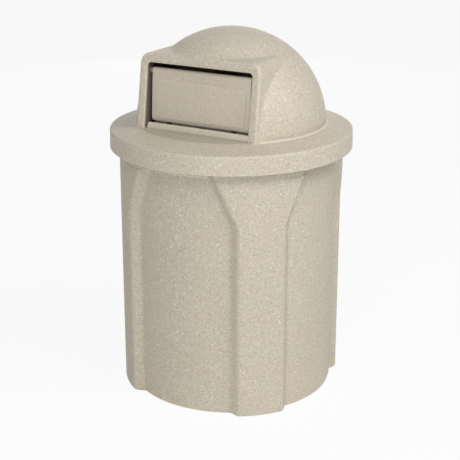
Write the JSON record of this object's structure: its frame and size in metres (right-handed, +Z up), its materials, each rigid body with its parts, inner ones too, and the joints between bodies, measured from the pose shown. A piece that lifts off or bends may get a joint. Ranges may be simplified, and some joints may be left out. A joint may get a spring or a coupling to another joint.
{
  "type": "waste receptacle",
  "caption": "Round moulded waste receptacle with flared columns, a loose liner and a lift-off dome lid with a hooded, inward-swinging flap.",
  "frame": {"origin": "middle of the base, on the floor", "axes": "+Z up, the hood and its flap face -Y, +X to the right seen from behind the flap"},
  "size_m": [0.6362, 0.6362, 0.9607],
  "materials": {
    "can_plastic": "speckled sandstone-coloured moulded polyethylene, fine pebbled",
    "lid_plastic": "speckled sandstone-coloured moulded polyethylene, satin",
    "flap_plastic": "smooth satin moulded polyethylene",
    "liner_plastic": "dark grey moulded polyethylene, satin",
    "steel": "drawn stainless steel",
    "nylon": "natural nylon",
    "rubber": "black moulded rubber"
  },
  "bodies": {
    "can": {"outer_body": "can_plastic"},
    "inner_can": {"liner": "liner_plastic"},
    "lid": {"dome_lid": "lid_plastic", "hinge_rod": "steel", "hinge_bush_left": "nylon", "hinge_bush_right": "nylon", "rod_spacer_left": "nylon", "rod_spacer_right": "nylon", "rod_washer_left": "steel", "rod_washer_right": "steel", "rod_cap_left": "steel", "rod_cap_right": "steel", "door_bumper_left": "rubber", "door_bumper_right": "rubber"},
    "flap": {"push_door": "flap_plastic"}
  },
  "joints": [
    {"name": "lid_lift", "type": "slide", "parent": "can", "child": "lid", "axis": [0, 0, 1], "range_m": [0, 1.45]},
    {"name": "liner_lift", "type": "slide", "parent": "can", "child": "inner_can", "axis": [0, 0, 1], "range_m": [0, 0.73]},
    {"name": "flap_hinge", "type": "hinge", "parent": "lid", "child": "flap", "pos_m": [0, -0.1473, 0.86044], "axis": [1, 0, 0], "range_deg": [0, 85]}
  ],
  "couplings": [
    {"joint": "liner_lift", "follows": "lid_lift", "ratio": 0.5}
  ]
}
